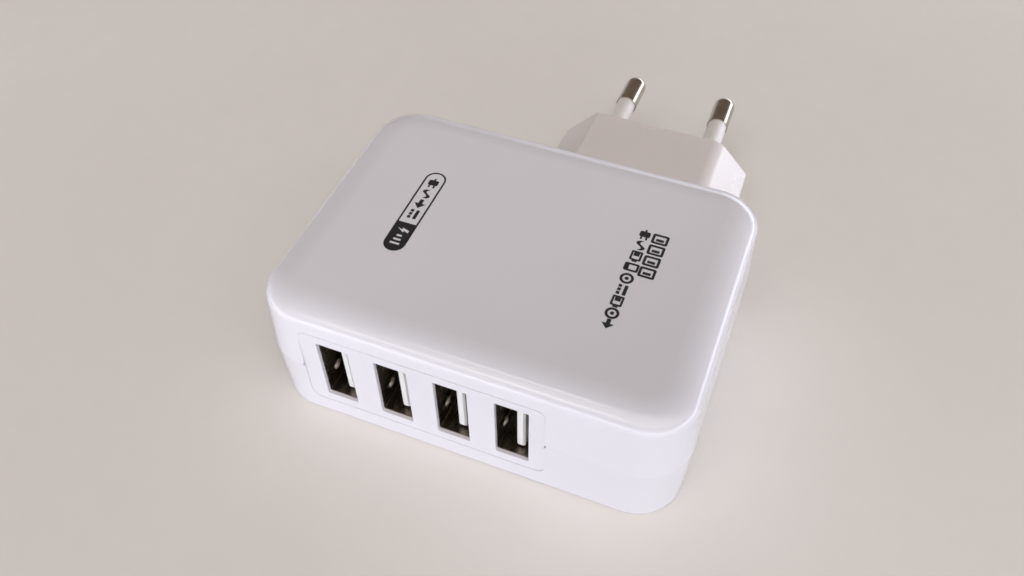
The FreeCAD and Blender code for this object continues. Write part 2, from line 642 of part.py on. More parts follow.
def transformer_core(side):
    """One E-shaped ferrite half; its three legs meet the other half in the middle."""
    x, y, z = TRANSFORMER_X, TRANSFORMER_Y, TRANSFORMER_Z
    z0, z1 = z - CORE_HEIGHT / 2, z + CORE_HEIGHT / 2
    near, far = y + side * 0.01, y + side * CORE_HALF_DEPTH
    core = block(x - CORE_WIDTH / 2, x + CORE_WIDTH / 2, min(near, far), max(near, far), z0, z1)
    window_end = y + side * (CORE_HALF_DEPTH - CORE_BACK)
    for hand in (-1, 1):
        inner = x + hand * CORE_LEG / 2
        outer = x + hand * (CORE_WIDTH / 2 - CORE_OUTER_LEG)
        window = block(min(inner, outer), max(inner, outer), min(near, window_end) - (side > 0),
                       max(near, window_end) + (side < 0), z0 - 1, z1 + 1)
        core = core.cut(window)
    return core


def transformer_bobbin():
    """Coil former: square tube on the centre leg, two flanges and two pin rails."""
    x, y, z = TRANSFORMER_X, TRANSFORMER_Y, TRANSFORMER_Z
    half_length = CORE_HALF_DEPTH - CORE_BACK - 0.1
    width = CORE_LEG + 0.2 + 2 * BOBBIN_WALL
    height = CORE_HEIGHT + 0.2 + 2 * BOBBIN_WALL
    flange_width = CORE_WIDTH - 2 * CORE_OUTER_LEG - 0.4
    pieces = [block(x - width / 2, x + width / 2, y - half_length, y + half_length,
                    z - height / 2, z + height / 2)]
    for side in (-1, 1):
        end = y + side * half_length
        inner = end - side * 0.8
        pieces.append(block(x - flange_width / 2, x + flange_width / 2, min(end, inner),
                            max(end, inner), z - BOBBIN_HEIGHT / 2, z + BOBBIN_HEIGHT / 2))
        rail = end + side * 2.4
        pieces.append(block(x - 7.0, x + 7.0, min(inner, rail), max(inner, rail),
                            BOARD_TOP + 0.6, BOARD_TOP + 2.8))
    bobbin = join(pieces)
    tunnel_x = CORE_LEG / 2 + 0.1
    tunnel_z = CORE_HEIGHT / 2 + 0.1
    return bobbin.cut(block(x - tunnel_x, x + tunnel_x, y - half_length - 1, y + half_length + 1,
                            z - tunnel_z, z + tunnel_z))


def transformer_winding():
    """Wound block between the flanges, with rounded corners."""
    x, y, z = TRANSFORMER_X, TRANSFORMER_Y, TRANSFORMER_Z
    half_length = CORE_HALF_DEPTH - CORE_BACK - 0.95
    wire = rounded_wire(Vector(x, y - half_length, z), X_AXIS, Z_AXIS, 5.5, 6.1, 2.2)
    winding = Part.Face(wire).extrude(Vector(0, 2 * half_length, 0))
    inner_w = CORE_LEG / 2 + 0.1 + BOBBIN_WALL + 0.02
    inner_h = CORE_HEIGHT / 2 + 0.1 + BOBBIN_WALL + 0.02
    return winding.cut(block(x - inner_w, x + inner_w, y - half_length - 1, y + half_length + 1,
                             z - inner_h, z + inner_h))


def transformer_tape():
    """Band of tape that holds the two core halves together."""
    x, y, z = TRANSFORMER_X, TRANSFORMER_Y, TRANSFORMER_Z
    gap, thickness, height = 0.02, 0.25, CORE_HEIGHT - 0.6
    half_x = CORE_WIDTH / 2 + gap
    half_y = CORE_HALF_DEPTH + gap
    outer = block(x - half_x - thickness, x + half_x + thickness, y - half_y - thickness,
                  y + half_y + thickness, z - height / 2, z + height / 2)
    return outer.cut(block(x - half_x, x + half_x, y - half_y, y + half_y, z - height, z + height))


def transformer_pins():
    pins = []
    for side in (-1, 1):
        y = TRANSFORMER_Y + side * (CORE_HALF_DEPTH - CORE_BACK + 1.2)
        spots = [(TRANSFORMER_X + offset, y) for offset in (-5.4, -1.8, 1.8, 5.4)]
        pins += wire_leads(spots, 0.35, BOARD_TOP + 0.6)
    return Part.makeCompound(pins)


def output_rectifier():
    x, y = 8.5, FRONT_Y + 28.6
    body = centred_block(x, y, 6.8, 3.0, BOARD_TOP + 0.2, BOARD_TOP + 2.3)
    body = fillet_where(body, 0.3, lambda middle, tangent: abs(middle.z - BOARD_TOP - 2.3) < 0.01)
    tabs = [block(x + s * 4.0 - 0.7, x + s * 4.0 + 0.7, y - 1.2, y + 1.2, BOARD_TOP, BOARD_TOP + 0.4)
            for s in (-1, 1)]
    return join([body] + tabs)


def chip_group(spots, length, width, height):
    """Identical small ceramic chips soldered flat on the board."""
    chips = []
    for x, behind in spots:
        chips.append(centred_block(x, FRONT_Y + behind, length, width, BOARD_TOP, BOARD_TOP + height))
    return Part.makeCompound(chips)


def insulation_barrier():
    """Upright sheet between the mains side and the receptacles, its foot in a slot of the board."""
    y = FRONT_Y + 20.6
    sheet = block(-30.0, 13.6, y, y + 0.4, BOARD_TOP - 1.0, CASE_HEIGHT - WALL - 1.2)
    slot_start, slot_end = -18.0, 6.0
    board_holes.append(block(slot_start, slot_end, y - 0.1, y + 0.5, BOARD_UNDER - 1, BOARD_TOP + 1))
    for x0, x1 in ((-31.0, slot_start + 0.1), (slot_end - 0.1, 14.0)):
        sheet = sheet.cut(block(x0, x1, y - 1, y + 1, BOARD_TOP - 2, BOARD_TOP + 0.02))
    return sheet


def main_board():
    centre_y = FRONT_Y + (BOARD_FRONT + BOARD_BACK) / 2
    outline = rounded_wire(Vector(0, centre_y, BOARD_UNDER), X_AXIS, Y_AXIS,
                           BOARD_WIDTH / 2, (BOARD_BACK - BOARD_FRONT) / 2, BOARD_RADIUS)
    board = Part.Face(outline).extrude(Vector(0, 0, BOARD_THICKNESS))
    return board.cut(board_holes)


# ---- All pieces ----

def build():
    pieces = {
        "upper_shell": upper_shell(),
        "lower_shell": lower_shell(),
        "port_panel": port_panel(),
        "plug_stem": plug_stem(),
    }
    for name, side in (("left", -1), ("right", 1)):
        pieces["pin_" + name] = plug_pin(side)
        pieces["pin_sleeve_" + name] = pin_sleeve(side)
    pieces["live_lead"] = mains_lead(-1)
    pieces["neutral_lead"] = mains_lead(1)
    for number, x in enumerate(PORT_X, start=1):
        contacts = Part.makeCompound([usb_contact(x, order) for order in range(len(CONTACT_SPOTS))])
        pieces["usb_shell_%d" % number] = usb_shell(x)
        pieces["usb_tongue_%d" % number] = usb_tongue(x, contacts)
        pieces["usb_contacts_%d" % number] = contacts
    pieces["fuse_resistor"] = fuse_resistor()
    pieces["bridge_rectifier"] = bridge_rectifier()
    pieces["bulk_capacitor_1"] = can_capacitor(-24.0, 36.5, 5.0, 15.5, 2.5)
    pieces["bulk_capacitor_2"] = can_capacitor(-24.0, 26.2, 5.0, 15.5, 2.5)
    pieces["choke_core"] = choke_core()
    pieces["choke_coil"] = choke_coil()
    pieces["controller_ic"] = chip_with_legs(-12.0, FRONT_Y + 42.0, 4.9, 3.9, 1.5, 4, 1.27)
    pieces["optocoupler"] = chip_with_legs(15.6, FRONT_Y + 25.5, 4.4, 3.6, 3.2, 2, 2.54)
    pieces["y_capacitor"] = y_capacitor()
    pieces["transformer_core_front"] = transformer_core(-1)
    pieces["transformer_core_rear"] = transformer_core(1)
    pieces["transformer_bobbin"] = transformer_bobbin()
    pieces["transformer_winding"] = transformer_winding()
    pieces["transformer_tape"] = transformer_tape()
    pieces["transformer_pins"] = transformer_pins()
    pieces["output_rectifier"] = output_rectifier()
    pieces["output_capacitor_1"] = can_capacitor(19.0, 11.0, 4.0, 11.5, 1.75)
    pieces["output_capacitor_2"] = can_capacitor(19.0, 19.4, 3.15, 11.5, 1.25)
    chips = [(25.5 + 2.0 * (n % 2), 14.5 + 1.8 * (n // 2)) for n in range(6)]
    chips += [(-7.0 + 2.0 * n, 42.5) for n in range(4)]
    pieces["chip_resistors"] = chip_group(chips, 1.6, 0.8, 0.45)
    pieces["chip_capacitors"] = chip_group([(28.2, 27.5 + 2.0 * n) for n in range(3)], 2.0, 1.25, 0.9)
    pieces["insulation_barrier"] = insulation_barrier()
    pieces["main_board"] = main_board()
    return pieces


def export(pieces):
    os.makedirs("parts", exist_ok=True)
    for name, shape in pieces.items():
        shape.exportStep("parts/" + name + ".step")


export(build())
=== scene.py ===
import math

import bmesh
import bpy
from mathutils import Matrix, Vector


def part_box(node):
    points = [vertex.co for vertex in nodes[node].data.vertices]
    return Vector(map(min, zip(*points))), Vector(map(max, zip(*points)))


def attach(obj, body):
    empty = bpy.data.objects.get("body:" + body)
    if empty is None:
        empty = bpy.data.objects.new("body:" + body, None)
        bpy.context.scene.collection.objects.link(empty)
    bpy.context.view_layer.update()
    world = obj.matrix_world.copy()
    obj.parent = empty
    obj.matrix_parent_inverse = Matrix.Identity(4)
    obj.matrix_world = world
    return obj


# USB wall charger: materials, printed symbols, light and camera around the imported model.
# Units are metres, in the model's own frame. +Y runs from the port face to the plug pins.

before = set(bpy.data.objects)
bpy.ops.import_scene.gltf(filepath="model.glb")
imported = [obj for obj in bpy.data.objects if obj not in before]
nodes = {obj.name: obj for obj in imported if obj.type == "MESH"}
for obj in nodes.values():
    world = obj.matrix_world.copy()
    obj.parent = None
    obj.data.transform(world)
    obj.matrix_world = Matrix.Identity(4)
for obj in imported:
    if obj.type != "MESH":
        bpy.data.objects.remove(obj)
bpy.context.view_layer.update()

MM = 0.001


def node_box(name):
    low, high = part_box(name)
    return Vector(low), Vector(high)


def node_centre(name):
    low, high = node_box(name)
    return (low + high) / 2


# ---- Shader helper ----

class Shader:
    """One procedural material, built on a Principled shader and on object coordinates in metres."""

    def __init__(self, name, **sockets):
        self.material = bpy.data.materials.new(name)
        self.material.use_nodes = True
        self.tree = self.material.node_tree
        self.bsdf = self.tree.nodes["Principled BSDF"]
        self.coords = self.tree.nodes.new("ShaderNodeTexCoord").outputs["Object"]
        for socket, value in sockets.items():
            self.bsdf.inputs[socket.replace("_", " ")].default_value = value

    def add(self, kind, values, **settings):
        node = self.tree.nodes.new("ShaderNode" + kind)
        for key, value in settings.items():
            setattr(node, key, value)
        for socket, value in values.items():
            self.feed(node.inputs[socket], value)
        return node

    def feed(self, socket, value):
        if isinstance(value, bpy.types.NodeSocket):
            self.tree.links.new(value, socket)
        else:
            socket.default_value = value

    def set(self, socket, value):
        self.feed(self.bsdf.inputs[socket], value)

    def math(self, operation, a, b=0.0, clamp=False):
        return self.add("Math", {0: a, 1: b}, operation=operation, use_clamp=clamp).outputs[0]

    def stretched(self, x=1.0, y=1.0, z=1.0, turn=(0.0, 0.0, 0.0)):
        return self.add("Mapping", {"Vector": self.coords, "Scale": (x, y, z), "Rotation": turn}).outputs[0]

    def noise(self, size, detail=2.0, roughness=0.5, vector=None, distortion=0.0):
        """Noise whose blotches are about size metres across, from 0 to 1."""
        node = self.add("TexNoise", {"Vector": vector or self.coords, "Scale": 1 / size, "Detail": detail,
                                     "Roughness": roughness, "Distortion": distortion})
        return node.outputs["Fac"]

    def cells(self, size, feature="F1", vector=None, output="Distance"):
        node = self.add("TexVoronoi", {"Vector": vector or self.coords, "Scale": 1 / size}, feature=feature)
        return node.outputs[output]

    def spread(self, value, low, high, out_low=0.0, out_high=1.0):
        node = self.add("MapRange", {"Value": value, "From Min": low, "From Max": high,
                                     "To Min": out_low, "To Max": out_high})
        return node.outputs[0]

    def mix(self, factor, a, b):
        node = self.add("Mix", {}, data_type="RGBA")
        self.feed(node.inputs[0], factor)
        self.feed(node.inputs[6], a if isinstance(a, bpy.types.NodeSocket) else (*a, 1.0))
        self.feed(node.inputs[7], b if isinstance(b, bpy.types.NodeSocket) else (*b, 1.0))
        return node.outputs[2]

    def axis(self, name):
        return self.add("SeparateXYZ", {"Vector": self.coords}).outputs[name]

    def beyond(self, value, limit, soft=0.00003):
        """1 where value is over limit, 0 under it."""
        return self.spread(value, limit - soft, limit + soft)

    def bump(self, layers):
        """Stacks (height, distance in metres) layers of relief."""
        normal = None
        for height, distance in layers:
            values = {"Height": height, "Distance": distance, "Strength": 1.0}
            if normal is not None:
                values["Normal"] = normal
            normal = self.add("Bump", values).outputs["Normal"]
        self.set("Normal", normal)


def scaled(colour, factor):
    return tuple(min(1.0, channel * factor) for channel in colour)


# ---- Materials ----

CASE_COLOUR = (0.735, 0.725, 0.765)
STEM_COLOUR = (0.73, 0.69, 0.68)
TINNED = (0.72, 0.71, 0.69)
EPOXY_BLACK = (0.018, 0.018, 0.02)
DUST = (0.22, 0.2, 0.18)
DUST_SPACING = 9 * MM
FLOW_LIGHT, FLOW_DARK = 1.012, 0.985        # tones of the faint clouding in moulded plastic
PAINTED_SHADE_START, PAINTED_SHADE_END = 15 * MM, 65 * MM       # along X - Y, where the painted shade towards the +X -Y corner comes in

# Where plugs have rubbed the receptacles' spring fingers: lighter metal, partly wear and partly a painted
# highlight on the fingers' dimples.
RUB_AND_GLINT_Y = -39.52 * MM
RUB_AND_GLINT_HEIGHTS = (9.2 * MM, 14.8 * MM)
RUB_AND_GLINT_RADIUS = 1.0 * MM
RUB_AND_GLINT_COLOUR = (0.78, 0.7, 0.6)

BAND_HALF_WIDTH = 0.36 * MM
RESISTOR_BANDS = ((-2.2, (0.35, 0.02, 0.02)), (-0.8, (0.02, 0.02, 0.02)),
                  (0.6, (0.25, 0.12, 0.03)), (2.4, (0.75, 0.5, 0.12)))


def moulded_plastic(name, colour, roughness, grain, speck_strength=0.0, smear=0.05, painted_shade_tone=1.0):
    """Injection-moulded plastic: faint flow clouding, fine orange peel, finger smears, a little dust.

    The last argument is the tone at the +X -Y corner of the case against the rest: painted shade, darkening
    the colour towards that corner.
    """
    shader = Shader(name, IOR=1.49)
    cloud = shader.noise(24 * MM, detail=3)

    def clouded(tone):
        return shader.mix(shader.spread(cloud, 0.3, 0.7), scaled(colour, FLOW_DARK * tone),
                          scaled(colour, FLOW_LIGHT * tone))

    colour_now = clouded(1.0)
    # Painted shade: the colour darkens towards the +X -Y corner of the case.
    if painted_shade_tone != 1.0:
        across = shader.math("SUBTRACT", shader.axis("X"), shader.axis("Y"))
        colour_now = shader.mix(shader.spread(across, PAINTED_SHADE_START, PAINTED_SHADE_END), colour_now, clouded(painted_shade_tone))
    if speck_strength:
        distance = shader.cells(DUST_SPACING)
        picked = shader.cells(DUST_SPACING, output="Color")
        chosen = shader.beyond(picked, 0.62, 0.02)
        speck = shader.spread(distance, 0.006, 0.012, speck_strength, 0.0)
        colour_now = shader.mix(shader.math("MULTIPLY", speck, chosen), colour_now, DUST)
    shader.set("Base Color", colour_now)
    smears = shader.noise(16 * MM, detail=5, roughness=0.62, distortion=0.6,
                          vector=shader.stretched(1, 0.55, 1))
    fine = shader.noise(0.35 * MM, detail=2)
    rough = shader.math("ADD", shader.spread(smears, 0.42, 0.75, roughness, roughness + smear),
                        shader.spread(fine, 0.2, 0.8, -0.012, 0.012))
    shader.set("Roughness", rough)
    shader.bump([(shader.noise(1.6 * MM, detail=2), grain), (fine, grain * 0.25)])
    return shader.material


def turned_nickel():
    """Nickel-plated brass pin: fine rings from turning, faint insertion rubs along the pin."""
    shader = Shader("nickel", Metallic=1.0)
    rings = shader.noise(0.12 * MM, detail=3, vector=shader.stretched(0.02, 1, 0.02))
    rubs = shader.noise(0.2 * MM, detail=4, roughness=0.7, vector=shader.stretched(1, 0.04, 1))
    stain = shader.noise(3 * MM, detail=4)
    base = shader.mix(shader.spread(stain, 0.35, 0.75), (0.56, 0.52, 0.45), (0.44, 0.4, 0.34))
    base = shader.mix(shader.spread(rubs, 0.62, 0.8, 0.0, 0.5), base, (0.74, 0.68, 0.55))
    shader.set("Base Color", base)
    shader.set("Roughness", shader.math("ADD", shader.spread(rings, 0.2, 0.8, 0.13, 0.2),
                                        shader.spread(rubs, 0.55, 0.8, 0.0, 0.1)))
    shader.bump([(rings, 0.0000012), (rubs, 0.000001)])
    return shader.material


def tin_plate(name, light, dark, roughness, rub_and_glint_spots=()):
    """Rolled and plated sheet metal: brushed along Y, duller patches.

    The last argument lists (y, z, radius, colour) places, the same at every x, that plugs have rubbed; they
    are painted lighter, partly as wear and partly as a painted highlight.
    """
    shader = Shader(name, Metallic=1.0)
    brushed = shader.noise(0.09 * MM, detail=3, vector=shader.stretched(1, 0.05, 1))
    patch = shader.noise(2.5 * MM, detail=4, roughness=0.6)
    base = shader.mix(shader.spread(patch, 0.35, 0.7), light, dark)
    rough = shader.math("ADD", shader.spread(brushed, 0.2, 0.8, roughness, roughness + 0.12),
                        shader.spread(patch, 0.4, 0.8, 0.0, 0.08))
    # Lighter, rougher spots: rub wear and a painted highlight together.
    for y, z, radius, colour in rub_and_glint_spots:
        from_spot = shader.add("VectorMath", {0: shader.stretched(0, 1, 1), 1: (0, y, z)},
                               operation="DISTANCE")
        rub_and_glint = shader.spread(from_spot.outputs["Value"], radius * 0.7, radius, 1.0, 0.0)
        base = shader.mix(rub_and_glint, base, colour)
        rough = shader.math("ADD", rough, shader.math("MULTIPLY", rub_and_glint, 0.2))
    shader.set("Base Color", base)
    shader.set("Roughness", rough)
    shader.bump([(brushed, 0.0000015)])
    return shader.material


def gold_flash():
    shader = Shader("contact_gold", Metallic=1.0)
    wipe = shader.noise(0.08 * MM, detail=3, vector=shader.stretched(1, 0.06, 1))
    patch = shader.noise(1.2 * MM, detail=3)
    shader.set("Base Color", shader.mix(shader.spread(patch, 0.3, 0.7), (0.93, 0.68, 0.26), (0.8, 0.53, 0.2)))
    shader.set("Roughness", shader.spread(wipe, 0.2, 0.8, 0.16, 0.3))
    shader.bump([(wipe, 0.000001)])
    return shader.material


def solder_mask():
    """Green board: tracks under the mask and the weave of the glass cloth."""
    shader = Shader("board_green", IOR=1.5)
    weave = shader.add("TexWave", {"Vector": shader.coords, "Scale": 700.0, "Distortion": 0.4},
                       bands_direction="DIAGONAL").outputs["Fac"]
    blocks = shader.add("TexBrick", {"Vector": shader.stretched(1000 / 6.5, 1000 / 6.5, 1), "Scale": 1.0,
                                     "Mortar Size": 0.035, "Mortar Smooth": 0.1, "Brick Width": 1.4,
                                     "Row Height": 0.42}).outputs["Fac"]
    island = shader.beyond(shader.cells(7 * MM, output="Color"), 0.45, 0.01)
    copper = shader.math("MAXIMUM", shader.math("SUBTRACT", 1.0, blocks), 0.0)
    tracks = shader.math("MULTIPLY", copper, island)
    base = shader.mix(tracks, (0.008, 0.07, 0.025), (0.03, 0.2, 0.06))
    base = shader.mix(shader.spread(weave, 0.3, 1.0, 0.0, 0.12), base, (0.05, 0.16, 0.07))
    shader.set("Base Color", base)
    shader.set("Roughness", shader.spread(shader.noise(0.6 * MM), 0.3, 0.7, 0.24, 0.36))
    shader.bump([(tracks, 0.00003), (weave, 0.000004)])
    return shader.material


def can_sleeve(name, node):
    """Electrolytic capacitor: printed sleeve with a pale stripe, bare aluminium top, tinned leads."""
    low, high = node_box(node)
    centre = (low + high) / 2
    board_top = node_box("main_board")[1].z
    radius = (high.x - low.x) / 2
    shader = Shader(name)
    x, y, z = shader.axis("X"), shader.axis("Y"), shader.axis("Z")
    from_axis = shader.add("VectorMath", {0: shader.stretched(1, 1, 0), 1: (-centre.x, -centre.y, 0)},
                           operation="ADD").outputs[0]
    reach = shader.add("VectorMath", {0: from_axis}, operation="LENGTH").outputs["Value"]
    top = shader.math("MULTIPLY", shader.beyond(z, high.z - 0.15 * MM),
                      shader.math("LESS_THAN", reach, radius - 0.9 * MM))
    leads = shader.math("LESS_THAN", z, board_top - 0.05 * MM)
    bare = shader.math("MAXIMUM", top, leads)
    stripe = shader.math("LESS_THAN", y, centre.y - radius * 0.86)
    dashes = shader.math("LESS_THAN", shader.math("PINGPONG", z, 1.6 * MM), 0.9 * MM)
    thin = shader.math("LESS_THAN", shader.math("ABSOLUTE", shader.math("SUBTRACT", x, centre.x)), 0.28 * MM)
    marks = shader.math("MULTIPLY", dashes, thin)
    film = shader.noise(1.4 * MM, detail=3)
    sleeve = shader.mix(shader.spread(film, 0.3, 0.7), (0.012, 0.016, 0.03), (0.02, 0.027, 0.05))
    striped = shader.mix(stripe, sleeve, (0.55, 0.58, 0.62))
    striped = shader.mix(shader.math("MULTIPLY", stripe, marks), striped, (0.03, 0.035, 0.05))
    brushed = shader.noise(0.15 * MM, detail=3, vector=shader.stretched(1, 0.1, 1))
    metal = shader.mix(brushed, (0.62, 0.62, 0.63), (0.8, 0.8, 0.8))
    shader.set("Base Color", shader.mix(bare, striped, metal))
    shader.set("Metallic", bare)
    shader.set("Roughness", shader.add("Mix", {0: bare, 2: shader.spread(film, 0.3, 0.7, 0.18, 0.28),
                                               3: shader.spread(brushed, 0.2, 0.8, 0.26, 0.42)}).outputs[0])
    shader.bump([(film, 0.00001), (brushed, 0.000001)])
    return shader.material


def ferrite():
    shader = Shader("ferrite")
    grain = shader.noise(0.18 * MM, detail=4, roughness=0.7)
    ground = shader.noise(0.1 * MM, detail=2, vector=shader.stretched(1, 0.08, 1))
    shader.set("Base Color", shader.mix(grain, (0.022, 0.022, 0.024), (0.07, 0.068, 0.066)))
    shader.set("Roughness", shader.spread(grain, 0.25, 0.75, 0.45, 0.62))
    shader.bump([(grain, 0.00002), (ground, 0.000004)])
    return shader.material


def wound(name, colour, dark, pitch, direction, roughness, metallic):
    """Turns of wire or tape side by side: rounded ridges across the direction of the axis."""
    shader = Shader(name, Metallic=metallic)
    wave = shader.add("TexWave", {"Vector": shader.coords, "Scale": 0.314 / pitch, "Distortion": 0.25,
                                  "Detail": 1.0, "Detail Scale": 0.6}, bands_direction=direction)
    ridges = wave.outputs["Fac"]
    cloud = shader.noise(2.5 * MM, detail=3)
    shader.set("Base Color", shader.mix(shader.spread(ridges, 0.0, 0.6), dark,
                                        shader.mix(cloud, scaled(colour, 0.86), colour)))
    shader.set("Roughness", shader.spread(cloud, 0.3, 0.7, roughness, roughness + 0.12))
    shader.bump([(ridges, pitch * 0.22)])
    return shader.material


def moulded_chip(name, node, leg_reach, foot_z, colour=EPOXY_BLACK):
    """Moulded epoxy body with tinned legs: legs are what lies below or outside the body block."""
    low, high = node_box(node)
    shader = Shader(name)
    y, z = shader.axis("Y"), shader.axis("Z")
    outside = shader.math("MAXIMUM", shader.math("LESS_THAN", y, low.y + leg_reach),
                          shader.math("GREATER_THAN", y, high.y - leg_reach))
    below = shader.math("LESS_THAN", z, foot_z)
    legs = shader.math("MAXIMUM", outside, below)
    grain = shader.noise(0.12 * MM, detail=3)
    body = shader.mix(grain, scaled(colour, 0.8), scaled(colour, 1.5))
    shader.set("Base Color", shader.mix(legs, body, TINNED))
    shader.set("Metallic", legs)
    shader.set("Roughness", shader.add("Mix", {0: legs, 2: shader.spread(grain, 0.3, 0.7, 0.42, 0.6),
                                               3: shader.spread(grain, 0.3, 0.7, 0.2, 0.34)}).outputs[0])
    shader.bump([(grain, 0.000006)])
    return shader.material


def dipped(name, colour):
    """Lacquer-dipped body over tinned leads."""
    board_top = node_box("main_board")[1].z
    shader = Shader(name)
    leads = shader.math("LESS_THAN", shader.axis("Z"), board_top + 0.3 * MM)
    cloud = shader.noise(1.8 * MM, detail=3)
    body = shader.mix(cloud, scaled(colour, 0.82), scaled(colour, 1.15))
    shader.set("Base Color", shader.mix(leads, body, TINNED))
    shader.set("Metallic", leads)
    shader.set("Roughness", shader.spread(cloud, 0.3, 0.7, 0.18, 0.3))
    shader.bump([(cloud, 0.00003)])
    return shader.material


def banded_resistor(node):
    """Lacquered axial resistor with colour bands round the body and tinned leads."""
    low, high = node_box(node)
    centre = (low + high) / 2
    shader = Shader("resistor_body")
    x, z = shader.axis("X"), shader.axis("Z")
    along = shader.math("SUBTRACT", x, centre.x)
    leads = shader.math("MAXIMUM", shader.math("GREATER_THAN", shader.math("ABSOLUTE", along), 4.62 * MM),
                        shader.math("LESS_THAN", z, high.z - 3.7 * MM))
    cloud = shader.noise(1.2 * MM, detail=3)
    colour = shader.mix(cloud, (0.2, 0.36, 0.3), (0.28, 0.45, 0.38))
    for place, band in RESISTOR_BANDS:
        distance = shader.math("ABSOLUTE", shader.math("SUBTRACT", along, place * MM))
        colour = shader.mix(shader.math("LESS_THAN", distance, BAND_HALF_WIDTH), colour, band)
    shader.set("Base Color", shader.mix(leads, colour, TINNED))
    shader.set("Metallic", leads)
    shader.set("Roughness", shader.spread(cloud, 0.3, 0.7, 0.2, 0.34))
    shader.bump([(cloud, 0.00002)])
    return shader.material


def insulated_lead(name, colour):
    shader = Shader(name)
    marks = shader.noise(0.3 * MM, detail=3, vector=shader.stretched(1, 0.1, 0.1))
    cloud = shader.noise(3 * MM, detail=2)
    shader.set("Base Color", shader.mix(cloud, scaled(colour, 0.85), scaled(colour, 1.2)))
    shader.set("Roughness", shader.spread(marks, 0.3, 0.7, 0.32, 0.48))
    shader.bump([(marks, 0.000008)])
    return shader.material


def barrier_film():
    shader = Shader("barrier_film", IOR=1.52)
    fibre = shader.noise(0.4 * MM, detail=5, roughness=0.7, vector=shader.stretched(0.3, 1, 1))
    shader.set("Base Color", shader.mix(fibre, (0.62, 0.58, 0.46), (0.76, 0.73, 0.62)))
    shader.set("Roughness", shader.spread(fibre, 0.3, 0.7, 0.5, 0.68))
    shader.bump([(fibre, 0.000012)])
    return shader.material


def ceramic_chips(name, body):
    """Small soldered chips: speckled fired body."""
    shader = Shader(name)
    grain = shader.noise(0.15 * MM, detail=3)
    shader.set("Base Color", shader.mix(grain, scaled(body, 0.8), scaled(body, 1.2)))
    shader.set("Roughness", shader.spread(grain, 0.3, 0.7, 0.3, 0.5))
    shader.bump([(grain, 0.000008)])
    return shader.material


def ink():
    """Pad-printed ink: dense black, slightly thinner in places, with a soft sheen."""
    shader = Shader("print_ink")
    cover = shader.noise(0.25 * MM, detail=3)
    shader.set("Base Color", shader.mix(cover, (0.012, 0.012, 0.014), (0.03, 0.03, 0.033)))
    shader.set("Roughness", shader.spread(cover, 0.3, 0.7, 0.3, 0.42))
    shader.bump([(cover, 0.000001)])
    return shader.material


def dress_nodes():
    """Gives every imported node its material."""
    # The case gets painted shade, darker towards its +X -Y corner.
    case = moulded_plastic("case_white", CASE_COLOUR, 0.08, 0.0000008, speck_strength=0.8, painted_shade_tone=0.9)
    stem = moulded_plastic("plug_white", STEM_COLOUR, 0.24, 0.000003)
    sleeve = moulded_plastic("sleeve_white", (0.74, 0.72, 0.7), 0.3, 0.000002)
    tongue = moulded_plastic("tongue_white", (0.83, 0.83, 0.81), 0.35, 0.000002)
    bobbin = moulded_plastic("bobbin_black", (0.03, 0.03, 0.033), 0.4, 0.000004)
    nickel = turned_nickel()
    # The shell's metal colours are darkened to dark brown: painted shade inside the deep receptacles.
    steel = tin_plate("shell_steel", (0.22, 0.185, 0.145), (0.14, 0.115, 0.09), 0.2,
                      rub_and_glint_spots=[(RUB_AND_GLINT_Y, z, RUB_AND_GLINT_RADIUS, RUB_AND_GLINT_COLOUR) for z in RUB_AND_GLINT_HEIGHTS])
    tinned = tin_plate("tinned_wire", (0.75, 0.74, 0.72), (0.6, 0.59, 0.58), 0.22)
    core = ferrite()
    dress = {
        "upper_shell": case, "lower_shell": case, "port_panel": case, "plug_stem": stem,
        "pin_left": nickel, "pin_right": nickel, "pin_sleeve_left": sleeve, "pin_sleeve_right": sleeve,
        "live_lead": insulated_lead("lead_brown", (0.12, 0.045, 0.02)),
        "neutral_lead": insulated_lead("lead_blue", (0.02, 0.07, 0.3)),
        "main_board": solder_mask(),
        "fuse_resistor": banded_resistor("fuse_resistor"),
        "choke_core": core, "transformer_core_front": core, "transformer_core_rear": core,
        "choke_coil": wound("copper_wire", (0.6, 0.24, 0.09), (0.15, 0.05, 0.02), 0.4 * MM, "Z", 0.25, 0.8),
        "transformer_winding": wound("tape_yellow", (0.78, 0.56, 0.05), (0.5, 0.33, 0.02), 2.0 * MM, "Y",
                                     0.22, 0.0),
        "transformer_tape": wound("core_tape", (0.8, 0.58, 0.06), (0.6, 0.42, 0.03),
                                  2.2 * MM, "Z", 0.24, 0.0),
        "transformer_bobbin": bobbin, "transformer_pins": tinned,
        "y_capacitor": dipped("ceramic_blue", (0.02, 0.14, 0.45)),
        "chip_resistors": ceramic_chips("chip_black", (0.03, 0.03, 0.035)),
        "chip_capacitors": ceramic_chips("chip_tan", (0.4, 0.28, 0.16)),
        "insulation_barrier": barrier_film(),
    }
    contacts = gold_flash()
    for number in range(1, 5):
        dress["usb_shell_%d" % number] = steel
        dress["usb_tongue_%d" % number] = tongue
        dress["usb_contacts_%d" % number] = contacts
    for node in ("bulk_capacitor_1", "bulk_capacitor_2", "output_capacitor_1", "output_capacitor_2"):
        dress[node] = can_sleeve("sleeve_of_" + node, node)
    board_top = node_box("main_board")[1].z
    for node, reach, foot in (("bridge_rectifier", -1 * MM, 0.75), ("controller_ic", 0.95 * MM, 0.05),
                              ("optocoupler", 0.95 * MM, 0.05), ("output_rectifier", -1 * MM, 0.19)):
        dress[node] = moulded_chip("epoxy_of_" + node, node, leg_reach=reach, foot_z=board_top + foot * MM)
    for name, material in dress.items():
        mesh = nodes[name].data
        mesh.materials.clear()
        mesh.materials.append(material)


# ---- Printed symbols on the top face ----

INK_THICKNESS = 0.018 * MM
INK_SUNK = 0.25              # share of the ink that lies below the surface


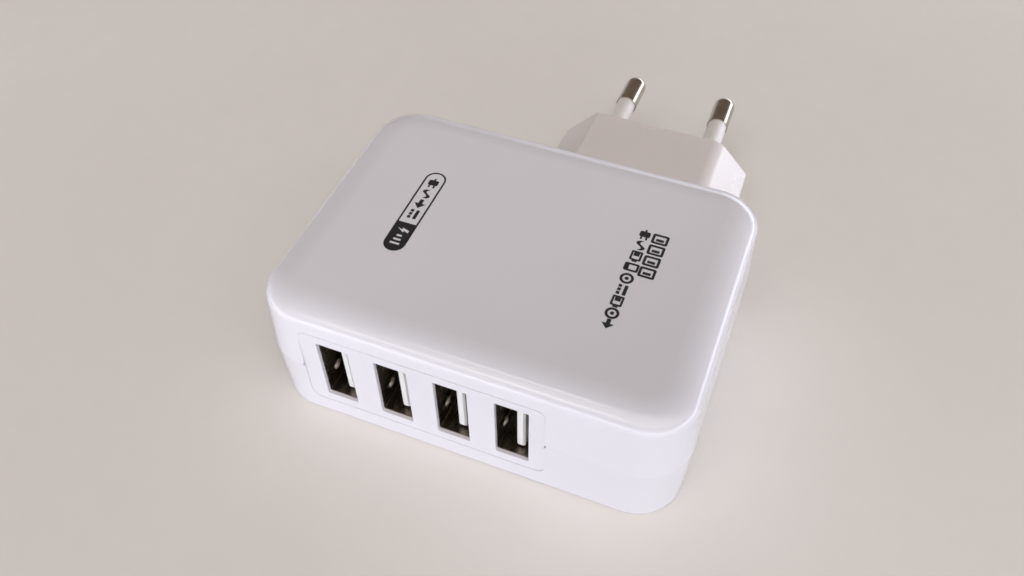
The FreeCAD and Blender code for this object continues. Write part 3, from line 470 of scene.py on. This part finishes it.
class Print:
    """Flat ink shapes drawn in a local frame: u runs along the line of symbols, v is their up."""

    def __init__(self, name, origin, along, up):
        self.name = name
        self.origin, self.along, self.up = origin, along, up
        self.mesh = bmesh.new()

    def point(self, u, v):
        return self.origin + self.along * (u * MM) + self.up * (v * MM)

    def fill(self, outline):
        """Closed outline of (u, v) points, filled."""
        self.mesh.faces.new([self.mesh.verts.new(self.point(u, v)) for u, v in outline])

    def band(self, outer, inner):
        """Strip between two outlines with the same number of points."""
        outer_verts = [self.mesh.verts.new(self.point(u, v)) for u, v in outer]
        inner_verts = [self.mesh.verts.new(self.point(u, v)) for u, v in inner]
        count = len(outer)
        for n in range(count):
            m = (n + 1) % count
            self.mesh.faces.new([outer_verts[n], outer_verts[m], inner_verts[m], inner_verts[n]])

    def pierced(self, outline, holes):
        """Closed outline with closed holes in it."""
        edges = []
        for loop in (outline, *holes):
            verts = [self.mesh.verts.new(self.point(u, v)) for u, v in loop]
            edges += [self.mesh.edges.new((start, end)) for start, end in zip(verts, verts[1:] + verts[:1])]
        bmesh.ops.triangle_fill(self.mesh, edges=edges, use_beauty=True)

    def rounded(self, u, v, half_u, half_v, radius, steps=6):
        points = []
        for corner, (su, sv) in enumerate(((1, 1), (-1, 1), (-1, -1), (1, -1))):
            for k in range(steps + 1):
                angle = math.pi / 2 * (corner + k / steps)
                points.append((u + su * (half_u - radius) + radius * math.cos(angle),
                               v + sv * (half_v - radius) + radius * math.sin(angle)))
        return points

    def bar(self, u, v, half_u, half_v, radius):
        self.fill(self.rounded(u, v, half_u, half_v, radius))

    def frame(self, u, v, half_u, half_v, radius, line):
        self.band(self.rounded(u, v, half_u, half_v, radius),
                  self.rounded(u, v, half_u - line, half_v - line, max(radius - line, 0.05)))

    def finish(self, material):
        bmesh.ops.recalc_face_normals(self.mesh, faces=self.mesh.faces)
        extruded = bmesh.ops.extrude_face_region(self.mesh, geom=list(self.mesh.faces))
        raised = [item for item in extruded["geom"] if isinstance(item, bmesh.types.BMVert)]
        bmesh.ops.translate(self.mesh, verts=raised, vec=Vector((0, 0, INK_THICKNESS)))
        bmesh.ops.recalc_face_normals(self.mesh, faces=self.mesh.faces)
        data = bpy.data.meshes.new(self.name)
        self.mesh.to_mesh(data)
        self.mesh.free()
        piece = bpy.data.objects.new(self.name, data)
        bpy.context.scene.collection.objects.link(piece)
        data.materials.append(material)
        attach(piece, "root")
        return piece


BOLT = ((-0.1, 1.0), (0.55, 1.0), (0.2, 0.25), (0.65, 0.25), (-0.35, -1.0), (-0.05, -0.15), (-0.5, -0.15))
ARROW = ((-1.0, 0.32), (-0.05, 0.32), (-0.05, 0.95), (1.05, 0.0), (-0.05, -0.95), (-0.05, -0.32),
         (-1.0, -0.32))


def plug_symbol(ink_print, u, v):
    ink_print.bar(u - 0.15, v, 0.6, 0.85, 0.3)
    for side in (-1, 1):
        ink_print.bar(u + 0.75, v + side * 0.42, 0.28, 0.16, 0.1)
    ink_print.bar(u - 0.95, v, 0.2, 0.16, 0.1)


def wave_symbol(ink_print, u, v):
    crest = [(k / 8 - 1, 0.5 * math.sin(math.pi * (k / 8 - 1))) for k in range(17)]
    upper = [(u + x, v + y + 0.32) for x, y in crest]
    lower = [(u + x, v + y - 0.32) for x, y in reversed(crest)]
    ink_print.fill(upper + lower)


def direct_symbol(ink_print, u, v):
    ink_print.bar(u, v + 0.5, 1.0, 0.27, 0.08)
    for step in (-1, 0, 1):
        ink_print.bar(u + step * 0.72, v - 0.45, 0.28, 0.27, 0.08)


def phone_symbol(ink_print, u, v):
    ink_print.frame(u, v, 0.85, 1.15, 0.3, 0.38)
    ink_print.bar(u, v - 0.62, 0.5, 0.22, 0.08)


def battery_symbol(ink_print, u, v):
    ink_print.frame(u - 0.1, v, 1.0, 0.9, 0.22, 0.34)
    ink_print.bar(u - 0.4, v, 0.35, 0.45, 0.05)
    ink_print.bar(u + 1.05, v, 0.15, 0.4, 0.08)


def ring_symbol(ink_print, u, v):
    ink_print.frame(u, v, 1.08, 1.08, 1.08, 0.42)
    ink_print.bar(u, v, 0.32, 0.32, 0.32)


def port_symbol(ink_print, u, v):
    ink_print.frame(u, v, 1.05, 1.3, 0.3, 0.42)
    ink_print.bar(u + 0.2, v, 0.26, 0.62, 0.06)


def print_symbols():
    """Generic supply symbols in a rounded frame and two rows of bold symbols on the top face."""
    top = node_box("upper_shell")[1].z - INK_THICKNESS * INK_SUNK
    black = ink()
    reading, upward = Vector((0, -1, 0)), Vector((1, 0, 0))

    supply = Print("supply_symbols", Vector((-17.9 * MM, -17.1 * MM, top)), reading, upward)
    supply.frame(0.0, 0.0, 9.25, 1.8, 1.79, 0.3)
    plug_symbol(supply, -6.6, 0.0)
    wave_symbol(supply, -4.0, 0.0)
    supply.fill([(-1.6 + x, y) for x, y in ARROW])
    direct_symbol(supply, 0.9, 0.0)
    label = [point for point in supply.rounded(0.0, 0.0, 8.96, 1.51, 1.5) if point[0] > 3.4]
    gauge = [supply.rounded(5.9 + 0.85 * n, 0.0, 0.2, 0.45 + 0.18 * n, 0.1, steps=2) for n in range(3)]
    supply.pierced([(3.0, -1.51), *label[-7:], *label[:-7], (3.0, 1.51)],
                   [[(4.6 + x * 0.85, y * 1.05) for x, y in BOLT], *gauge])
    supply.finish(black)

    ports = Print("port_symbols", Vector((18.9 * MM, -17.8 * MM, top)), reading, upward)
    for n in range(4):
        port_symbol(ports, -8.6 + 2.42 * n, 1.32)
    row = (plug_symbol, wave_symbol, battery_symbol, phone_symbol, ring_symbol, direct_symbol, battery_symbol,
           ring_symbol)
    for n, symbol in enumerate(row):
        symbol(ports, -8.75 + 2.38 * n, -1.2)
    ports.fill([(9.95 + x * 0.9, y - 1.2) for x, y in ARROW])
    ports.finish(black)


# ---- Floor, light and camera ----

TABLE_HALF = 1.6
TABLE_GAP = 0.05 * MM


def table_top():
    """Pale floor, a hair below the flat underside so that the two don't share a plane."""
    corners = ((-1, -1), (1, -1), (1, 1), (-1, 1))
    mesh = bpy.data.meshes.new("table_top")
    mesh.from_pydata([(x * TABLE_HALF, y * TABLE_HALF, -TABLE_GAP) for x, y in corners], [], [(0, 1, 2, 3)])
    table = bpy.data.objects.new("table_top", mesh)
    bpy.context.scene.collection.objects.link(table)
    shader = Shader("table_paint")
    cloud = shader.noise(60 * MM, detail=4)
    fine = shader.noise(5 * MM, detail=3)
    tone = shader.mix(shader.spread(cloud, 0.3, 0.7), (0.8, 0.78, 0.745), (0.83, 0.81, 0.78))
    shader.set("Base Color", shader.mix(shader.spread(fine, 0.3, 0.7, 0.0, 0.25), tone, (0.78, 0.765, 0.73)))
    shader.set("Roughness", shader.spread(fine, 0.3, 0.7, 0.5, 0.6))
    shader.bump([(shader.noise(0.9 * MM, detail=3), 0.00001)])
    mesh.materials.append(shader.material)


LAMP_REACH = 1.3
LAMP_COLOUR = (0.97, 0.96, 1.0)


def area_light(name, offset, length, width, power, along):
    """Rectangular light at an offset from the case, facing it, its long side along a direction."""
    light = bpy.data.lights.new(name, "AREA")
    light.shape = "RECTANGLE"
    light.size, light.size_y = length, width
    light.energy = power
    light.color = LAMP_COLOUR
    lamp = bpy.data.objects.new(name, light)
    bpy.context.scene.collection.objects.link(lamp)
    back = offset.normalized()
    side = (along - back * along.dot(back)).normalized()
    turn = Matrix((side, back.cross(side), back)).transposed()
    lamp.matrix_world = Matrix.Translation(node_centre("upper_shell") + offset) @ turn.to_4x4()


def towards(turn, height):
    """Direction that is turn degrees from the front, to +X, and height degrees above the table."""
    turn, height = math.radians(turn), math.radians(height)
    return Vector((math.sin(turn) * math.cos(height), -math.cos(turn) * math.cos(height), math.sin(height)))


def tube_light(name, start, end, width, power):
    """Long soft lamp between two directions, each (turn, height) in degrees."""
    start, end = towards(*start) * LAMP_REACH, towards(*end) * LAMP_REACH
    area_light(name, (start + end) / 2, (end - start).length, width, power, along=end - start)


# Light of the room as (red, green, blue). Compass angles start at +X and turn towards +Y.
PALE_WALL = (4.0, 4.2, 4.8)
DIM_CORNER = (0.2, 0.2, 0.2)
WALL_MIDDLE = math.radians(320)
UPPER_WALL = (0.2, 0.15, 0.12)
CEILING = (0.06, 0.06, 0.06)
CEILING_GLOW = (2.5, 2.3, 2.1)
GLOW_MIDDLE = math.radians(295)
WALLS_END = math.radians(8), math.radians(20)
CEILING_STARTS = math.radians(36), math.radians(58)


def room():
    """Room around the table: pale walls with one dim corner, and a ceiling that glows towards the front."""
    world = bpy.data.worlds.new("room")
    bpy.context.scene.world = world
    world.use_nodes = True
    tree = world.node_tree

    def math_node(operation, a, b=None):
        node = tree.nodes.new("ShaderNodeMath")
        node.operation = operation
        for socket, value in zip(node.inputs, (a, b)):
            if isinstance(value, bpy.types.NodeSocket):
                tree.links.new(value, socket)
            elif value is not None:
                socket.default_value = value
        return node.outputs[0]

    def smooth_step(value, low, high):
        node = tree.nodes.new("ShaderNodeMapRange")
        node.interpolation_type = "SMOOTHSTEP"
        tree.links.new(value, node.inputs["Value"])
        node.inputs["From Min"].default_value = low
        node.inputs["From Max"].default_value = high
        return node.outputs[0]

    def blend(factor, a, b):
        node = tree.nodes.new("ShaderNodeMix")
        node.data_type = "RGBA"
        tree.links.new(factor, node.inputs[0])
        for socket, value in ((node.inputs[6], a), (node.inputs[7], b)):
            if isinstance(value, bpy.types.NodeSocket):
                tree.links.new(value, socket)
            else:
                socket.default_value = (*value, 1.0)
        return node.outputs[2]

    def facing(compass):
        return math_node("COSINE", math_node("SUBTRACT", angle, compass))

    direction = tree.nodes.new("ShaderNodeSeparateXYZ")
    tree.links.new(tree.nodes.new("ShaderNodeTexCoord").outputs["Generated"], direction.inputs[0])
    angle = math_node("ARCTAN2", direction.outputs["Y"], direction.outputs["X"])
    height = math_node("ARCSINE", direction.outputs["Z"])
    walls = blend(smooth_step(facing(WALL_MIDDLE), -1.0, -0.4), DIM_CORNER, PALE_WALL)
    ceiling = blend(smooth_step(facing(GLOW_MIDDLE), 0.0, 1.0), CEILING, CEILING_GLOW)
    lower = blend(smooth_step(height, *WALLS_END), walls, UPPER_WALL)
    colour = blend(smooth_step(height, *CEILING_STARTS), lower, ceiling)
    tree.links.new(colour, tree.nodes["Background"].inputs["Color"])


def light_room():
    room()
    tube_light("lamp_front", (-38, 44), (-8, 52), width=0.16, power=0.75)
    tube_light("lamp_overhead", (-58, 67), (-25, 77), width=0.09, power=0.33)
    tube_light("lamp_side", (56, 44), (96, 34), width=0.1, power=0.45)


CAMERA_PITCH = math.radians(49.85)
CAMERA_YAW = math.radians(22.36)
CAMERA_ROLL = math.radians(-0.75)
CAMERA_PLACE = Vector((36.4, -109.1, 130.1)) * MM
CAMERA_LENS = 32.82


def camera():
    data = bpy.data.cameras.new("camera")
    data.lens = CAMERA_LENS
    data.sensor_width = 36.0
    data.clip_start = 0.01
    eye = bpy.data.objects.new("camera", data)
    bpy.context.scene.collection.objects.link(eye)
    forward = Vector((-math.sin(CAMERA_YAW) * math.cos(CAMERA_PITCH),
                      math.cos(CAMERA_YAW) * math.cos(CAMERA_PITCH), -math.sin(CAMERA_PITCH)))
    level = Vector((math.cos(CAMERA_YAW), math.sin(CAMERA_YAW), 0))
    up = level.cross(forward)
    right = level * math.cos(CAMERA_ROLL) + up * math.sin(CAMERA_ROLL)
    up = up * math.cos(CAMERA_ROLL) - level * math.sin(CAMERA_ROLL)
    turn = Matrix((right, up, -forward)).transposed()
    eye.matrix_world = Matrix.Translation(CAMERA_PLACE) @ turn.to_4x4()
    bpy.context.scene.camera = eye


dress_nodes()
print_symbols()
table_top()
light_room()
camera()
bpy.context.scene.view_settings.view_transform = "Standard"
